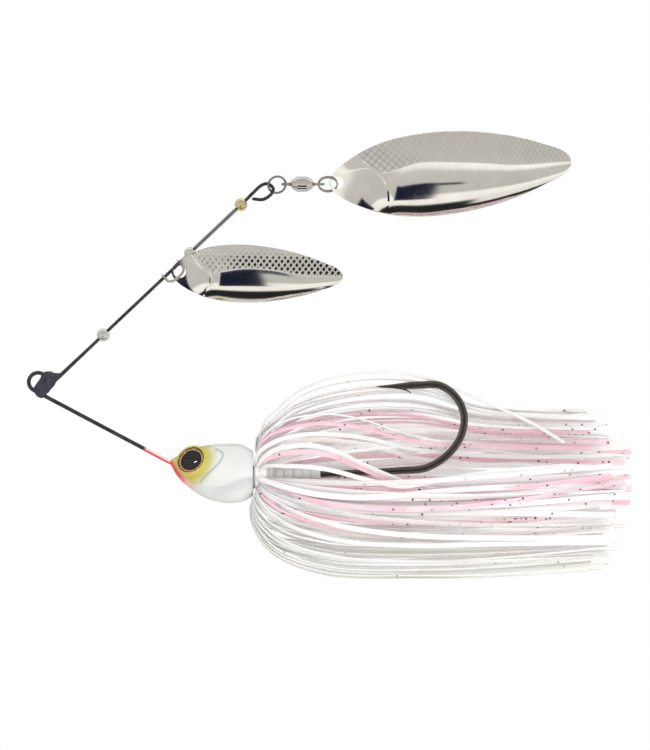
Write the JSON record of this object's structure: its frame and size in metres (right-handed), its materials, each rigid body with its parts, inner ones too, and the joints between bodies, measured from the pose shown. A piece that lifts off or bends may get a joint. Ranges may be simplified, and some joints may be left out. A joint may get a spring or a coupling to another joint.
{
  "type": "spinnerbait",
  "caption": "Double-willow spinnerbait: wire frame with a line tie, painted head and hook with a silicone skirt, and two spinner blades on a sliding clevis and a swivel.",
  "frame": {"origin": "centre of the line-tie loop, which the fishing line holds", "axes": "-Z down to the tail, the upper arm and its blades on the +X side, the head's left flank facing -Y"},
  "size_m": [0.1071, 0.0372, 0.1457],
  "materials": {
    "black_wire": "black oxide on spring steel wire, semi-gloss",
    "sleeve_rubber": "dark rubber, lumpy, satin",
    "nickel": "bright nickel plate",
    "brass_bead": "polished",
    "clear_tube": "clear soft vinyl tube",
    "blade_nickel": "bright nickel plate with an embossed scale pattern on one half",
    "warm_nickel": "bright plate with a warm tint",
    "black_nickel": "black nickel plate, gloss",
    "head_paint": "pearl white over lead, olive round the eyes and a red to pink throat, clear coated",
    "eye_foil": "bronze foil with a black pupil",
    "eye_dome": "clear domed epoxy",
    "band_rubber": "white, satin",
    "skirt_silicone": "white, pearl and clear silicone strands with flakes"
  },
  "bodies": {
    "root": {"wire_frame": "black_wire", "tie_sleeve": "sleeve_rubber", "stop_bead": "nickel", "head": "head_paint", "left_eye_foil": "eye_foil", "left_eye_dome": "eye_dome", "right_eye_foil": "eye_foil", "right_eye_dome": "eye_dome", "hook": "black_nickel", "skirt_band": "band_rubber", "skirt_tuft_1": "skirt_silicone", "skirt_tuft_2": "skirt_silicone", "skirt_tuft_3": "skirt_silicone", "skirt_tuft_4": "skirt_silicone", "skirt_tuft_5": "skirt_silicone", "skirt_tuft_6": "skirt_silicone", "skirt_tuft_7": "skirt_silicone", "skirt_tuft_8": "skirt_silicone", "skirt_tuft_9": "skirt_silicone"},
    "bearing_bead": {"bearing_bead": "nickel"},
    "clevis": {"clevis": "nickel"},
    "small_blade": {"small_blade": "blade_nickel"},
    "spacer_tube": {"spacer_tube": "clear_tube"},
    "brass_bead": {"brass_bead": "brass_bead"},
    "front_ring": {"front_ring": "nickel"},
    "swivel_front_stem": {"swivel_front_stem": "nickel"},
    "swivel_barrel": {"swivel_barrel": "warm_nickel", "bearing_ball_1": "nickel", "bearing_ball_2": "nickel", "bearing_ball_3": "nickel", "bearing_ball_4": "nickel", "bearing_ball_5": "nickel", "bearing_ball_6": "nickel"},
    "swivel_rear_stem": {"swivel_rear_stem": "nickel"},
    "split_ring": {"split_ring": "nickel"},
    "large_blade": {"large_blade": "blade_nickel"}
  },
  "joints": [
    {"name": "stack_slide", "type": "slide", "parent": "root", "child": "bearing_bead", "axis": [-0.6871, 0, 0.7266], "range_m": [0, 0.0178]},
    {"name": "clevis_spin", "type": "hinge", "parent": "bearing_bead", "child": "clevis", "pos_m": [0.02666, 0, -0.03187], "axis": [0.6871, 0, -0.7266], "continuous": true},
    {"name": "small_blade_swing", "type": "hinge", "parent": "clevis", "child": "small_blade", "pos_m": [0.02624, -0.00125, -0.0338], "axis": [-0.2079, -0.9781, 0], "range_deg": [-30, 45]},
    {"name": "spacer_spin", "type": "hinge", "parent": "bearing_bead", "child": "spacer_tube", "pos_m": [0.03071, 0, -0.03615], "axis": [0.6871, 0, -0.7266], "continuous": true},
    {"name": "brass_bead_spin", "type": "hinge", "parent": "spacer_tube", "child": "brass_bead", "pos_m": [0.03071, 0, -0.03615], "axis": [0.6871, 0, -0.7266], "continuous": true},
    {"name": "front_ring_swing", "type": "hinge", "parent": "root", "child": "front_ring", "pos_m": [0.046, -0.0001, -0.0555], "axis": [1, 0, 0], "range_deg": [-5, 40]},
    {"name": "swivel_pitch", "type": "hinge", "parent": "front_ring", "child": "swivel_front_stem", "pos_m": [0.04695, 0, -0.05688], "axis": [0.4226, 0.9063, 0], "range_deg": [-25, 30]},
    {"name": "swivel_front_spin", "type": "hinge", "parent": "swivel_front_stem", "child": "swivel_barrel", "pos_m": [0.0471, 0.0004, -0.06285], "axis": [0, 0, -1], "continuous": true},
    {"name": "swivel_rear_spin", "type": "hinge", "parent": "swivel_barrel", "child": "swivel_rear_stem", "pos_m": [0.0471, 0.0004, -0.06285], "axis": [0, 0, -1], "continuous": true},
    {"name": "split_ring_swing", "type": "hinge", "parent": "swivel_rear_stem", "child": "split_ring", "pos_m": [0.0471, 0.0004, -0.0675], "axis": [0.7071, 0.7071, 0], "range_deg": [-35, 35]},
    {"name": "large_blade_swing", "type": "hinge", "parent": "split_ring", "child": "large_blade", "pos_m": [0.0471, 0.0004, -0.07125], "axis": [0.7071, -0.7071, 0], "range_deg": [-15, 35]}
  ]
}
